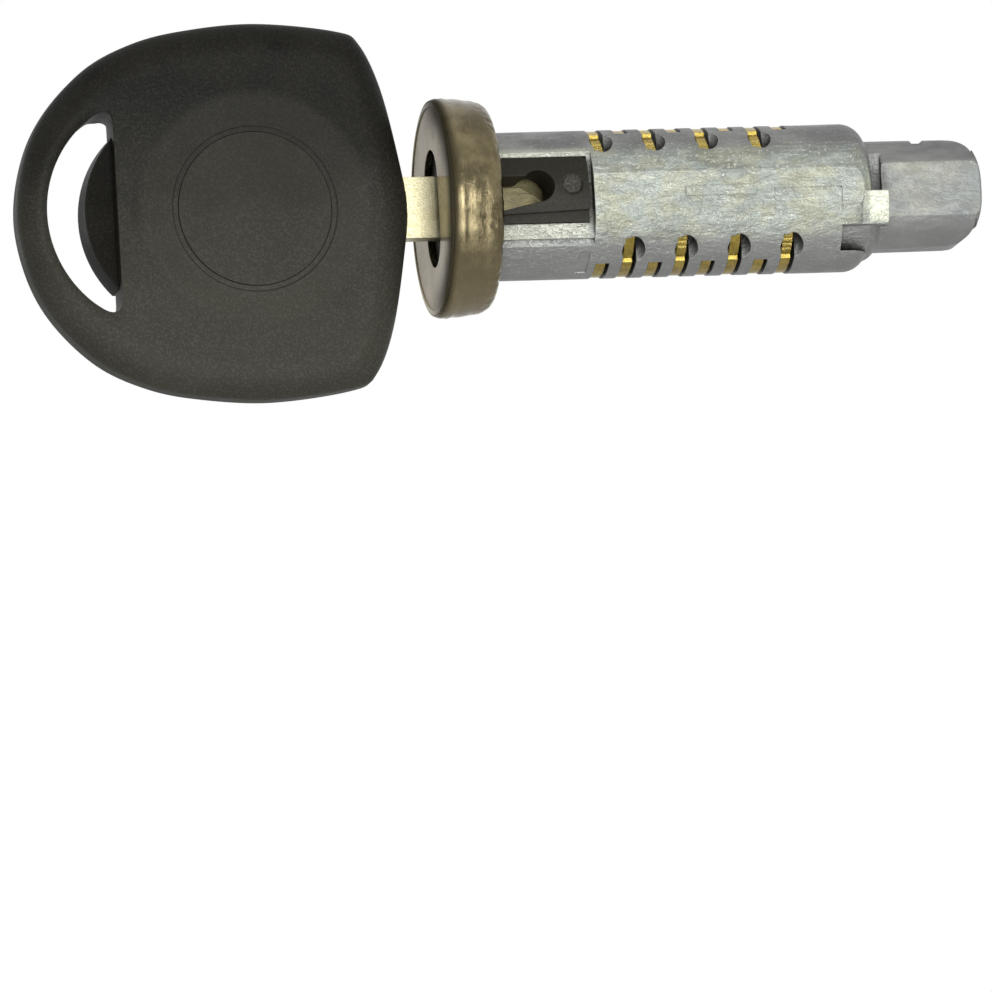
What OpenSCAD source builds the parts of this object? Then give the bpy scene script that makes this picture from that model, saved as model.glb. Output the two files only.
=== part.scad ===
// Ignition lock cylinder with its key inserted.
// +X runs along the plug's axis from the key to the drive tail, +Z is the way the odd wafers travel.
// The origin is on the axis, at the back face of the front collar, where the plug seats in its housing.

/* [Plug body] */
// Diameter of the plug body
plug_d = 15; // [14.6:0.1:16]
// Radius of the round edge at the rear shoulder
shoulder_r = 2.3; // [1:0.1:2.6]
// Distance from the last wafer to the rear shoulder face
rear_len = 8.96; // [8:0.02:12]
// Distance from the axis to the flat along each side of the body
side_flat = 7.21; // [7.1:0.01:7.25]
// How far the parting-line bar stands off the side flat
bar_proud = 0.15; // [0.05:0.05:0.2]
// Length of the parting-line bar
bar_len = 7.3; // [4:0.1:9]
// Distance from the shelf round the window to the bar
bar_at = 9.4; // [6:0.1:10]
// Length of the shallow step beside the rear lug
step_len = 7; // [4:0.1:8]
// Diameter of the flange inside the collar
flange_d = 19.3; // [18:0.1:19.6]
// How far the body is relieved under the ring's lip
lip_relief = 0.2; // [0.16:0.02:0.4]

/* [Drive tail] */
// Width of the neck between the shoulder and the tail
neck_w = 8.4; // [7:0.1:9.4]
// Length of the neck
neck_len = 1.1; // [0.6:0.1:2]
// Diameter over the tail's round corners
tail_d = 11.3; // [10.8:0.1:12.4]
// Distance across the tail's side flats
tail_af = 9.9; // [9.4:0.1:10.6]
// Distance across the tail's upper and lower flats
tail_high = 10.7; // [10:0.1:11.2]
// Length of the tail
tail_len = 10.3; // [8:0.1:16]
// How much the tail widens towards the neck, above and below
tail_taper = 0.2; // [0:0.05:0.3]
// Radius of the corners of the tail's end, seen from the side
tail_round = 2.2; // [1:0.1:3.2]
// Radius of the domed end of the tail, seen from the side
tail_dome = 12; // [8:0.5:30]
// Distance from the axis to the outer face of the rear lug
lug_out = 7.15; // [6.4:0.05:7.2]
// Radius of the heel below the lug
heel_r = 6.6; // [6:0.1:6.9]

/* [Collar] */
// Wall of the crimped ring, outside the face plate's skirt
ring_wall = 1.05; // [0.8:0.05:2]
// Depth of the whole collar, from its seat to the front face
collar_len = 5; // [4.6:0.1:6]
// Thickness of the face plate
face_t = 0.7; // [0.5:0.1:1]
// Radius of the ring's front edge
ring_front_r = 0.5; // [0.3:0.1:0.8]
// Radius of the ring's back edge
ring_back_r = 2; // [0.4:0.1:2.2]
// Height of the opening for the key in the face plate
mouth_h = 12; // [9:0.5:14]
// Width of the opening for the key in the face plate
mouth_w = 6.8; // [4:0.1:8]

/* [Side insert] */
// Height of the side windows
window_h = 6.8; // [6.5:0.1:7.4]
// How far the middle of the windows lies above the axis
window_z = 0.6; // [0:0.05:0.6]
// How far the insert reaches behind the collar
insert_len = 9.8; // [9.5:0.1:12]
// Radius of the round end of the opening in the insert
insert_hole_r = 1.65; // [1.2:0.05:2]
// Radius of the insert's upper rear corner
insert_corner_r = 0.6; // [0.2:0.1:1]
// How far the insert's outer face lies below the plug's surface
insert_set = 0.2; // [0.16:0.02:0.4]
// Diameter of the round dimple in the insert
dimple_d = 2.2; // [1:0.1:2.6]
// Thickness of the insert's front disc
carrier_t = 0.6; // [0.4:0.05:0.6]
// Clearance between fixed pieces that nest in each other
nest_gap = 0.05; // [0.03:0.01:0.08]

/* [Wafers] */
// Distance from one wafer to the next
wafer_pitch = 2.72; // [2.6:0.01:3.4]
// Distance from the insert's end to the first wafer
first_gap = 1.5; // [1.2:0.1:4]
// Thickness of a wafer
wafer_t = 1; // [0.7:0.05:1.05]
// Width of a wafer
wafer_w = 6.9; // [6.4:0.05:6.95]
// Clearance between a wafer and its slot, on each side
wafer_gap = 0.07; // [0.04:0.01:0.1]
// Extra room in each slot behind the wafer, towards the tail
slot_slack = 0.3; // [0:0.05:0.4]
// How far the wafer's ends lie below the plug's surface
wafer_set = 0.12; // [0.08:0.02:0.4]
// Travel of a wafer when the key is out
wafer_travel = 0.7; // [0.4:0.05:0.8]
// Distance from the plug's side to the axis of a spring pocket
pocket_in = 2.6; // [2.3:0.05:2.65]
// Diameter of a spring pocket
pocket_d = 2.4; // [2.2:0.05:2.4]
// Height of a spring when the key is in
spring_len = 4.6; // [3.6:0.1:5]
// Outer diameter of a wafer spring
spring_d = 1.95; // [1.5:0.05:2.05]
// Wire diameter of the springs
wire_d = 0.26; // [0.2:0.02:0.32]
// Number of coils in a wafer spring
spring_turns = 5.5; // [4:0.5:7]

/* [Key blade] */
// Height of the blade
blade_h = 6.24; // [5.8:0.02:6.3]
// Thickness of the blade
blade_t = 2.36; // [2.2:0.02:2.4]
// How far the blade reaches past the last wafer
blade_past = 5.45; // [4:0.05:5.5]
// Depth of the milled track in each face
track_depth = 0.7; // [0.5:0.05:0.8]
// Height of the track's lower edge where it leaves the blade behind the collar
track_out = 1.8; // [1.2:0.1:2.2]
// Height of the middle of the track above the axis
track_mid = 0.65; // [0.5:0.05:0.75]
// Height of the narrowest stretch of the track
track_h = 1.46; // [1.4:0.02:1.6]
// Largest sideways cut of the track's edges
track_cut = 1.05; // [0.6:0.05:1.1]
// Radius of the tip's corners
tip_r = 1.2; // [0.6:0.1:2]
// Clearance between the blade and the keyway, on each side
key_gap = 0.13; // [0.08:0.01:0.16]

/* [Key head] */
// Gap between the collar's face and the head
head_gap = 2.8; // [1:0.1:6]
// Length of the head along the blade
head_len = 40; // [37:0.1:46]
// Width of the head across the blade
head_w = 38.4; // [36:0.1:44]
// Thickness of the head's middle
head_t = 7; // [6.8:0.1:10]
// Width of the band at the end of the loop
loop_band = 2.8; // [2.4:0.1:4]
// Radius of the loop's round edge
loop_r = 11.9; // [11:0.1:13]
// Distance from the loop's straight edge to the end of the head
loop_len = 9.9; // [9:0.1:11]
// Width of the head's rounded edge
edge_in = 3.5; // [2.6:0.1:5]
// Diameter of the faint rim round each inlay
rim_d = 17; // [16.4:0.1:19]
// Diameter of the round inlay
inlay_d = 15.65; // [12:0.05:16]
// Thickness of the inlay
inlay_t = 0.4; // [0.3:0.05:0.5]
// Distance from the loop's straight edge to the middle of the inlay
inlay_at = 14.1; // [13:0.1:16]
// Width of the shallow dish round the rim
dish_w = 4; // [2:0.1:4.5]
// Depth of the shallow dish
dish_t = 0.25; // [0.1:0.05:0.3]
// Length of the transponder carrier inside the head
holder_len = 12.2; // [9:0.1:14]
// Width of the transponder carrier
holder_w = 15.4; // [13:0.1:16]
// Thickness of the transponder carrier
holder_t = 4.2; // [3.9:0.1:4.6]
// How far the carrier's round end stands into the loop
holder_out = 3.1; // [1:0.1:3.4]

/* [Hidden] */
$fn = 72;

zinc = [0.62, 0.62, 0.63];
steel = [0.66, 0.64, 0.58];
brass = [0.80, 0.66, 0.36];
blade_tone = [0.83, 0.76, 0.58];
black = [0.08, 0.08, 0.09];

WAFERS = 8;
plug_r = plug_d / 2;
first_x = insert_len + first_gap;
function wafer_x(i) = first_x + (i - 1) * wafer_pitch;
function up(i) = i % 2 == 1 ? 1 : -1;
closed_x = first_x - 1.9;
body_len = wafer_x(WAFERS) + rear_len;
tail_x = body_len + neck_len;
lug_x = body_len - shoulder_r - 1;
end_x = tail_x + tail_len;
tip_x = wafer_x(WAFERS) + blade_past;
slot_t = wafer_t + 2 * wafer_gap;
slot_w = wafer_w + 2 * wafer_gap;

// collar: face plate, then the plug's flange, then the ring's lip
skirt_t = 0.35;
lip_t = 0.55;
flange_back = -lip_t;
face_back = -collar_len + face_t;
flange_front = face_back + carrier_t + 2 * nest_gap;
skirt_in = flange_d / 2 + nest_gap;
ring_in = skirt_in + skirt_t + nest_gap;
ring_d = 2 * (ring_in + ring_wall);
face_d = ring_d - 0.5;
ring_front = face_back + 0.08;

// windows and the shallow shelf round them
shelf_y = 6;
shelf_h = window_h + 2.7;
shelf_len = insert_len + 0.5;
insert_h = window_h - 2 * nest_gap;
insert_r = plug_r - insert_set;
insert_z0 = window_z - insert_h / 2;
insert_z1 = window_z + insert_h / 2;
hole_x = 4.6;
hole_z = window_z + 0.3;
bar_x = shelf_len + bar_at;
bar_w = 1;
way_y = blade_t / 2 + key_gap;
way_z = blade_h / 2 + key_gap;

// ears and spring pockets, all on the -Y side
pocket_y = -(plug_r - pocket_in);
pocket_shift = 0.4;
ear_in = wafer_w / 2;
ear_out = -pocket_y + 1;
ear_z = 3.2;
pocket_z = ear_z - nest_gap - spring_len - nest_gap;
wafer_r = plug_r - wafer_set;
ear_r = wafer_r - 0.35;
// marks on the ears that tell the wafers' depths apart
ear_marks = [3, 0, 3, 3, 0, 0, 3, 4];

// how far each edge of the track is cut back at each wafer, as steps from 0 to 3
upper_cut = [2, 0, 1, 3, 3, 1, 0, 2];
lower_cut = [1, 2, 0, 0, 2, 3, 1, 2];
track_lead = 2.1;

// shutter: pin parallel to Z beside the blade on the +Y side
pin_x = -2.4;
pin_y = way_y + 1.3;
pin_r = 0.5;
knuckle_r = 0.95;
flap_t = 0.7;
flap_tip = 2.2;
flap_h = 4.6;
shutter_room_h = 5.1;

head_front = -collar_len - head_gap;
loop_x = head_front - head_len + loop_len;
inlay_x = loop_x + inlay_at;
holder_back = loop_x + holder_len;
tang_x = holder_back + nest_gap + 1;

// revolve about the X axis: the profile is drawn as (radius, x)
module on_x() rotate([0, 90, 0]) children();

// what a round edge of radius r takes off the corner at (x, y) of a profile
module corner(x, y, sx, sy, r)
  difference() {
    translate([sx > 0 ? x - 0.1 : x - r, sy > 0 ? y - 0.1 : y - r]) square(r + 0.1);
    translate([x + sx * r, y + sy * r]) circle(r);
  }

module block(x0, x1, y0, y1, z0, z1) translate([x0, y0, z0]) cube([x1 - x0, y1 - y0, z1 - z0]);

// a profile drawn in X and Z, given its thickness along Y from y0 to y1
module slab(y0, y1) translate([0, y1, 0]) rotate([90, 0, 0]) linear_extrude(y1 - y0) children();

// a profile drawn in Y and Z, given its thickness along X about the plane x
module sheet(x, t) translate([x - t / 2, 0, 0]) rotate([90, 0, 90]) linear_extrude(t) children();

module plug() color(zinc)
  difference() {
    union() {
      on_x() rotate_extrude() difference() {
        union() {
          translate([0, flange_front]) square([flange_d / 2, flange_back - flange_front]);
          translate([0, flange_back]) square([plug_r - lip_relief, 1 - flange_back]);
          square([plug_r, body_len]);
        }
        corner(plug_r, body_len, -1, -1, shoulder_r);
      }
      // tail, and the neck that carries it
      intersection() {
        on_x() rotate_extrude() difference() {
          translate([0, tail_x]) square([tail_d / 2, tail_len]);
          corner(tail_d / 2, end_x, -1, -1, 0.8);
          corner(tail_d / 2, tail_x, -1, 1, 0.4);
        }
        slab(-tail_af / 2, tail_af / 2) difference() {
          intersection() {
            tail_side();
            translate([end_x + 0.06 - tail_dome, 0]) circle(tail_dome);
          }
          corner(end_x - 0.7, tail_high / 2, -1, -1, tail_round);
          corner(end_x - 0.7, -tail_high / 2, -1, 1, tail_round);
        }
      }
      intersection() {
        block(body_len - 0.5, tail_x + 0.5, -neck_w / 2, neck_w / 2, -tail_d, tail_d);
        slab(-neck_w / 2, neck_w / 2) tail_side();
        translate([body_len - 1, 0, 0]) rotate([0, 90, 0]) cylinder(d = tail_d, h = neck_len + 2);
      }
      // the heel, where the lower half of the body reaches on to the tail
      intersection() {
        on_x() rotate_extrude() difference() {
          translate([0, lug_x]) square([heel_r, tail_x + 0.1 - lug_x]);
          corner(heel_r, tail_x + 0.1, -1, -1, 2.2);
        }
        block(lug_x, tail_x + 1, -lug_out, plug_r, -plug_r, -0.45);
      }
      // the lug that bridges the neck
      intersection() {
        block(lug_x, tail_x + 0.2, -lug_out, -3.4, -3.75, -0.45);
        translate([lug_x - 1, 0, 0]) rotate([0, 90, 0])
          cylinder(r = plug_r - 0.18, h = tail_x - lug_x + 2);
      }
    }
    for (m = [0, 1]) mirror([0, m, 0]) {
      // flat along each side, with the parting-line bar left standing on it
      block(shelf_len, body_len - 0.01, -plug_r - 1, -side_flat - bar_proud, -3, 3);
      for (z = [-3, bar_w / 2])
        block(shelf_len, body_len - 0.01, -plug_r - 1, -side_flat, z, z + 3 - bar_w / 2);
      for (x = [[shelf_len, bar_x], [bar_x + bar_len, body_len - 0.01]])
        block(x[0], x[1], -plug_r - 1, -side_flat, -bar_w, bar_w);
      // shelf round the window
      block(0.01, shelf_len, -plug_r - 1, -shelf_y, -shelf_h / 2, shelf_h / 2);
      block(0.01, shelf_len, -plug_r - 1, -shelf_y + 0.45, -shelf_h / 2 - 0.55, -shelf_h / 2 + 0.4);
    }
    // windows, and the same passage inside the flange
    block(flange_back, insert_len + nest_gap, -plug_r - 1, plug_r + 1,
          window_z - window_h / 2, window_z + window_h / 2);
    intersection() {
      block(flange_front - 1, flange_back + 0.01, -plug_r, plug_r,
            window_z - window_h / 2, window_z + window_h / 2);
      translate([flange_front - 2, 0, 0]) rotate([0, 90, 0]) cylinder(r = plug_r - nest_gap, h = plug_d);
    }
    // keyway
    block(flange_front - 1, tip_x + 0.9, -way_y, way_y, -way_z, way_z);
    for (i = [1:WAFERS]) {
      block(wafer_x(i) - slot_t / 2, wafer_x(i) + slot_t / 2 + slot_slack,
            -slot_w / 2, slot_w / 2, -plug_d, plug_d);
      mirror([0, 0, up(i) > 0 ? 0 : 1]) {
        translate([wafer_x(i) + pocket_shift, pocket_y, pocket_z]) cylinder(d = pocket_d, h = plug_d);
        block(wafer_x(i) - slot_t / 2, wafer_x(i) + slot_t / 2 + slot_slack,
              -ear_out - wafer_gap, 0, ear_z - 0.2, plug_d);
      }
    }
    // faint print of a slot that was closed in the mould, ahead of the first wafer
    difference() {
      block(closed_x - slot_t / 2, closed_x + slot_t / 2, -4.9, -1.9, -plug_d, 0);
      on_x() cylinder(r = plug_r - 0.1, h = body_len);
    }
    // step beside the lug, and the cut-out below it
    block(lug_x - 0.2 - step_len, lug_x - 0.2, -plug_r - 1, -side_flat + 0.12, -2.8, 0.1);
    difference() {
      block(lug_x - 0.2, body_len + 1, -plug_r - 1, 0, -6.1, -3.75);
      translate([lug_x - 1, 0, 0]) rotate([0, 90, 0]) cylinder(r = heel_r, h = tail_len);
    }
    // notch across the top of the tail
    block(tail_x + 3.8, tail_x + 5.2, -4, 4, tail_high / 2 - 0.4, plug_r);
  }

// the tail seen from the side, before its end is rounded
module tail_side()
  polygon([[body_len - 1, -tail_high / 2 - tail_taper], [tail_x, -tail_high / 2 - tail_taper],
           [end_x, -tail_high / 2], [end_x, tail_high / 2],
           [tail_x, tail_high / 2 + tail_taper], [body_len - 1, tail_high / 2 + tail_taper]]);

module face_plate() color(steel)
  difference() {
    on_x() rotate_extrude() difference() {
      union() {
        translate([0, -collar_len]) square([face_d / 2, face_t]);
        translate([skirt_in, face_back - 0.1]) square([skirt_t, flange_back - face_back - nest_gap]);
      }
      corner(face_d / 2, -collar_len, -1, 1, face_t * 0.8);
      corner(face_d / 2, face_back, -1, -1, face_t * 0.15);
    }
    translate([-collar_len - 1, 0, 0]) rotate([90, 0, 90]) linear_extrude(face_t + 2) mouth();
  }

// upright stadium
module mouth() {
  square([mouth_w, mouth_h - mouth_w], center = true);
  for (s = [-1, 1]) translate([0, s * (mouth_h - mouth_w) / 2]) circle(d = mouth_w);
}

module collar_ring() color(steel)
  on_x() rotate_extrude() difference() {
    translate([plug_r + nest_gap, ring_front]) square([ring_d / 2 - plug_r - nest_gap, -ring_front]);
    translate([0, ring_front - 1]) square([ring_in, flange_back - ring_front + 1]);
    corner(ring_d / 2, ring_front, -1, 1, ring_front_r);
    corner(ring_d / 2, 0, -1, -1, ring_back_r);
  }

module shutter_carrier() color(black)
  difference() {
    union() {
      translate([face_back + nest_gap, 0, 0]) rotate([0, 90, 0])
        cylinder(d = flange_d - 0.6, h = carrier_t);
      intersection() {
        translate([face_back + 0.1, 0, 0]) rotate([0, 90, 0])
          cylinder(r = insert_r, h = insert_len - face_back - 0.1);
        slab(-plug_r, plug_r) difference() {
          translate([face_back + 0.1, insert_z0]) square([insert_len - face_back - 0.1, insert_h]);
          corner(insert_len, insert_z1, -1, -1, insert_corner_r);
        }
      }
    }
    // the key's way between the two cheeks
    block(face_back - 1, insert_len + 1, -way_y, way_y, -way_z, way_z);
    block(flange_front + 0.4, insert_len + 1, -way_y, way_y, -plug_r, plug_r);
    // U-shaped opening in the near cheek
    slab(-plug_r - 1, -way_y + 0.1) {
      translate([hole_x, hole_z]) circle(insert_hole_r);
      polygon([[0, hole_z + insert_hole_r - 0.6], [hole_x, hole_z + insert_hole_r - 0.6],
               [hole_x, hole_z - insert_hole_r], [0, hole_z - 1.6 * insert_hole_r]]);
    }
    // dimple and the step along the lower edge
    translate([8.1, -insert_r - 0.2, window_z + 0.45]) rotate([-90, 0, 0])
      cylinder(d1 = dimple_d + 0.4, d2 = dimple_d - 0.4, h = 0.6);
    slab(-plug_r, -insert_r + 0.95)
      polygon([[0.5, -plug_r], [insert_len + 1, -plug_r],
               [insert_len + 1, insert_z0 + 1.2], [0.5, insert_z0 + 0.8]]);
    // room for the shutter in the far cheek
    block(flange_front - 0.04, 3.2, way_y - 0.1, pin_y + 2.3,
          window_z - shutter_room_h / 2, window_z + shutter_room_h / 2);
    translate([pin_x, pin_y, insert_z0 + 0.1]) cylinder(r = pin_r, h = insert_h - 0.2);
  }

module shutter_pin() color(steel)
  translate([pin_x, pin_y, insert_z0 + 0.1]) cylinder(r = pin_r, h = insert_h - 0.2);

module shutter_flap() color(steel)
  translate([0, 0, window_z]) difference() {
    union() {
      block(pin_x, flap_tip, way_y, way_y + flap_t, -flap_h / 2, 0.7);
      block(pin_x + 1.3, flap_tip, way_y, way_y + flap_t, -flap_h / 2, flap_h / 2);
      translate([pin_x, pin_y, -flap_h / 2]) cylinder(r = knuckle_r, h = flap_h / 2 + 0.7);
    }
    translate([pin_x, pin_y, -flap_h]) cylinder(r = pin_r + 0.05, h = 2 * flap_h);
  }

// a round wire of diameter d along the points of a path that stays close to level
module wire(path, d, sides = 6) {
  n = len(path);
  function way(k) = let (a = path[max(k - 1, 0)], b = path[min(k + 1, n - 1)]) (b - a) / norm(b - a);
  function side(k) = let (w = cross(way(k), [0, 0, 1])) w / norm(w);
  rings = [for (k = [0:n - 1], j = [0:sides - 1])
    let (a = 360 * j / sides, s = side(k), t = cross(s, way(k)))
    path[k] + d / 2 * (cos(a) * s + sin(a) * t)];
  walls = [for (k = [0:n - 2], j = [0:sides - 1])
    let (a = k * sides + j, b = k * sides + (j + 1) % sides)
    each [[a, b, b + sides], [a, b + sides, a + sides]]];
  ends = [[for (j = [sides - 1:-1:0]) j], [for (j = [0:sides - 1]) (n - 1) * sides + j]];
  polyhedron(rings, concat(walls, ends));
}

// centre line of a coil whose first and last turns lie flat
function coil(r, z0, z1, turns, pitch0, per = 12) =
  let (n = round(turns * per), inner = (z1 - z0 - 1.6 * pitch0) / (turns - 1.6))
  [for (k = [0:n])
    let (t = k / per, a = 360 * t,
         z = t < 0.8 ? z0 + pitch0 * t
           : t > turns - 0.8 ? z1 - pitch0 * (turns - t)
           : z0 + 0.8 * pitch0 + (t - 0.8) * inner)
    [r * cos(a), r * sin(a), z]];

module shutter_spring() color(steel)
  translate([pin_x, pin_y, window_z])
    wire(concat([[3.2, -0.43, 0.95], [1.6, -0.43, 0.95]],
                [for (k = [0:45]) let (a = -30 + 9.6 * k)
                  [0.78 * cos(a), 0.78 * sin(a), 0.95 + 1.2 * k / 45]],
                [[0.66, 1.1, 2.15], [0.8, 1.9, 2.15]]), 0.22);

module wafer(i) {
  s = up(i);
  color(brass)
  translate([wafer_x(i), 0, 0]) mirror([0, 0, s > 0 ? 0 : 1]) sheet(0, wafer_t) {
    difference() {
      union() {
        intersection() { circle(wafer_r); square([wafer_w, 2 * plug_d], center = true); }
        intersection() { circle(ear_r); translate([-ear_out, ear_z]) square([ear_out, plug_r]); }
      }
      // window for the blade, tall enough for the wafer's travel
      translate([-way_y - 0.1, -way_z - wafer_travel - 0.1])
        square([2 * way_y + 0.2, 2 * way_z + wafer_travel + 0.2]);
      // marks along the ear's outer edge
      if (ear_marks[i - 1] > 0) for (k = [1:ear_marks[i - 1]])
        rotate(56.5 - 5 * k) translate([0, ear_r]) circle(0.15, $fn = 8);
    }
    // the nub that runs in the key's track
    translate([-way_y - 0.2, s * track_mid - 0.55])
      square([0.2 + way_y - (blade_t / 2 - track_depth + 0.08), 0.5]);
  }
}

module wafer_spring(i) {
  s = up(i);
  r = (spring_d - wire_d) / 2;
  z0 = pocket_z + nest_gap + wire_d / 2;
  color(steel)
  translate([wafer_x(i) + pocket_shift, pocket_y, 0]) rotate([s > 0 ? 0 : 180, 0, 0])
    wire(coil(r, z0, z0 + spring_len - wire_d, spring_turns, wire_d * 1.02), wire_d);
}

// height of the track's edge between wafers: a smooth wave from one step to the next
function wave(cut, x) =
  let (u = (x - first_x) / wafer_pitch, k = floor(u), f = u - k,
       a = cut[max(0, min(WAFERS - 1, k))], b = cut[max(0, min(WAFERS - 1, k + 1))])
  (a + (b - a) * (1 - cos(180 * f)) / 2) / 3 * track_cut;

module track() {
  n = 4 * (WAFERS + 2);
  x0 = first_x - track_lead;
  xs = [for (k = [0:n]) x0 + (tip_x + 0.5 - x0) * k / n];
  polygon(concat(
    [for (x = xs) [x, track_mid + track_h / 2 + wave(upper_cut, x)]],
    [for (k = [n:-1:0]) [xs[k], track_mid - track_h / 2 - wave(lower_cut, xs[k])]]));
  // behind the collar the track climbs and leaves the blade at its edge
  polygon([[1, track_out], [hole_x - 0.7, track_out], [hole_x + 2.3, track_mid - track_h / 2],
           [x0 + 0.3, track_mid - track_h / 2 - wave(lower_cut, x0)],
           [x0 + 0.3, track_mid + track_h / 2 + wave(upper_cut, x0)],
           [hole_x + 3, track_mid + track_h / 2 + wave(upper_cut, x0)],
           [hole_x + 1.6, blade_h / 2 + 0.5], [1, blade_h / 2 + 0.5]]);
}

module key_blade() color(blade_tone)
  difference() {
    slab(-blade_t / 2, blade_t / 2) difference() {
      translate([tang_x, -blade_h / 2]) square([tip_x - tang_x, blade_h]);
      corner(tip_x, blade_h / 2, -1, -1, tip_r);
      corner(tip_x, -blade_h / 2, -1, 1, tip_r);
    }
    slab(-blade_t, -blade_t / 2 + track_depth) track();
    rotate([180, 0, 0]) slab(-blade_t, -blade_t / 2 + track_depth) track();
  }

// half outline of the head as shares of its length and half its width, from the front to the loop
head_shape = [[0, 0], [0.01, 0.2], [0.05, 0.62], [0.1, 0.873], [0.16, 0.949], [0.37, 1], [0.56, 0.969],
              [0.69, 0.904], [0.81, 0.776], [0.915, 0.552], [0.975, 0.305], [1, 0]];
head_ring = concat(head_shape,
                   [for (k = [len(head_shape) - 2:-1:1]) [head_shape[k][0], -head_shape[k][1]]]);

// smooth closed curve through the points
function smooth(p, per) =
  let (n = len(p))
  [for (k = [0:n - 1], j = [0:per - 1])
    let (a = p[(k + n - 1) % n], b = p[k], c = p[(k + 1) % n], d = p[(k + 2) % n], t = j / per)
    (2 * b + (c - a) * t + (2 * a - 5 * b + 4 * c - d) * t * t + (3 * b - a - 3 * c + d) * t * t * t) / 2];

module head_outline()
  polygon([for (q = smooth(head_ring, 3)) [head_front - head_len * q[0], head_w / 2 * q[1]]]);

// pillow-edged body of the head, from slabs that shrink towards its faces
module pillow()
  hull() for (e = [[0.46, 0], [0.7, 0.09], [0.86, 0.28], [0.955, 0.56], [1, 1]])
    slab(-head_t / 2 * e[0], head_t / 2 * e[0]) offset(delta = -edge_in * e[1]) head_outline();

module key_head() color(black)
  difference() {
    pillow();
    // the loop, with a straight front edge
    slab(-head_t, head_t) offset(r = 1.2) offset(delta = -1.2) intersection() {
      translate([head_front - head_len + loop_band + loop_r, 0]) circle(loop_r);
      translate([loop_x - head_len, -head_w]) square([head_len, 2 * head_w]);
    }
    // seats of the blade, the carrier and the inlays
    block(tang_x - 0.02, head_front + 1, -blade_t / 2 - 0.02, blade_t / 2 + 0.02,
          -blade_h / 2 - 0.02, blade_h / 2 + 0.02);
    block(loop_x - 1, holder_back + nest_gap, -holder_t / 2 - nest_gap, holder_t / 2 + nest_gap,
          -holder_w / 2 - nest_gap, holder_w / 2 + nest_gap);
    for (s = [-1, 1]) translate([inlay_x, s * head_t / 2, 0]) rotate([90, 0, 0]) {
      cylinder(d = inlay_d + 2 * nest_gap, h = 2 * (inlay_t + dish_t), center = true);
      cylinder(d = rim_d, h = 2 * (dish_t + 0.1), center = true);
    }
    // shallow dish round each inlay
    for (m = [0, 1]) mirror([0, m, 0]) translate([inlay_x, -head_t / 2 - 0.01, 0])
      rotate([-90, 0, 0]) cylinder(d1 = rim_d + 2 * dish_w, d2 = rim_d, h = dish_t);
  }

module head_inlay(s) color(black)
  translate([inlay_x, s * (head_t / 2 - dish_t - inlay_t / 2), 0]) rotate([90, 0, 0])
    cylinder(d = inlay_d, h = inlay_t, center = true);

holder_r = (holder_w * holder_w / 4 + holder_out * holder_out) / (2 * holder_out);
chip = [6, 2.9, 11.8];

module transponder_carrier() color(black)
  difference() {
    slab(-holder_t / 2, holder_t / 2) {
      translate([loop_x - 0.01, -holder_w / 2]) square([holder_back - loop_x + 0.01, holder_w]);
      intersection() {
        translate([loop_x - holder_out + holder_r, 0]) circle(holder_r);
        translate([loop_x - holder_out - 1, -holder_w / 2]) square([holder_out + 1, holder_w]);
      }
    }
    translate([holder_back - 1.2 - chip[0] - 2 * nest_gap,
               -chip[1] / 2 - nest_gap, -chip[2] / 2 - nest_gap])
      cube([chip[0] + 2 * nest_gap, holder_t, chip[2] + 2 * nest_gap]);
  }

module transponder() color([0.15, 0.15, 0.16])
  translate([holder_back - 1.2 - chip[0] - nest_gap, -chip[1] / 2, -chip[2] / 2]) cube(chip);

plug();
face_plate();
collar_ring();
shutter_carrier();
shutter_flap();
shutter_pin();
shutter_spring();
for (i = [1:WAFERS]) {
  wafer(i);
  wafer_spring(i);
}
key_blade();
key_head();
transponder_carrier();
transponder();
head_inlay(-1);  // head_inlay_front
head_inlay(1);  // head_inlay_back
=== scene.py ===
# %% [markdown]
# An ignition lock plug with its key pushed in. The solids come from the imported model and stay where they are,
# so this lesson is about looks: cast zinc, worn plating, brass, grained plastic, and a few pieces that read
# better when Blender makes them.

# %% Load the solids
import bisect
import math
import bmesh
import bpy
from mathutils import Matrix, Vector, noise
from mathutils.kdtree import KDTree


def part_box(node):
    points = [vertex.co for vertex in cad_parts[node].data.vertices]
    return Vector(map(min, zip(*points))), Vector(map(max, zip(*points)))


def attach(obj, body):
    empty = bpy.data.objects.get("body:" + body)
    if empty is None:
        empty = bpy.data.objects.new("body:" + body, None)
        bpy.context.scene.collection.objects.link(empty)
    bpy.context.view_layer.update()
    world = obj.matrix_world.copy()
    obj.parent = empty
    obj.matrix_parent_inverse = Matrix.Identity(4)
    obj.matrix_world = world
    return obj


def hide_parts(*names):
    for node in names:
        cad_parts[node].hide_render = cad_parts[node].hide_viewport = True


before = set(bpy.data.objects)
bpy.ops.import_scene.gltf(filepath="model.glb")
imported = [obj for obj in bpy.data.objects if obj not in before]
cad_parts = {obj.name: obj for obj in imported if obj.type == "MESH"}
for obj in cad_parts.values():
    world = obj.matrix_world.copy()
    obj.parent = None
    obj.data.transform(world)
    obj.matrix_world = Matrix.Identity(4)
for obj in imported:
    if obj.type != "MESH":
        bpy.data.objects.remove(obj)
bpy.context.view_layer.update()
scene = bpy.context.scene
MM = 0.001

# %% [markdown]
# The photograph was taken from far away with a long lens, nearly square to the side of the plug, from a
# little ahead of it and a little below. A camera is a matrix whose columns are its right, its up and its
# back, so the tilt in the picture is a turn of the first two. The lens follows from how many picture
# points one millimetre covers.

# %% Camera
PICTURE = 992
POINTS_PER_MM = 9.924
DISTANCE = 2.4
LOOKED_AT = Vector((-0.186, 0, -29.48)) * MM


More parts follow.
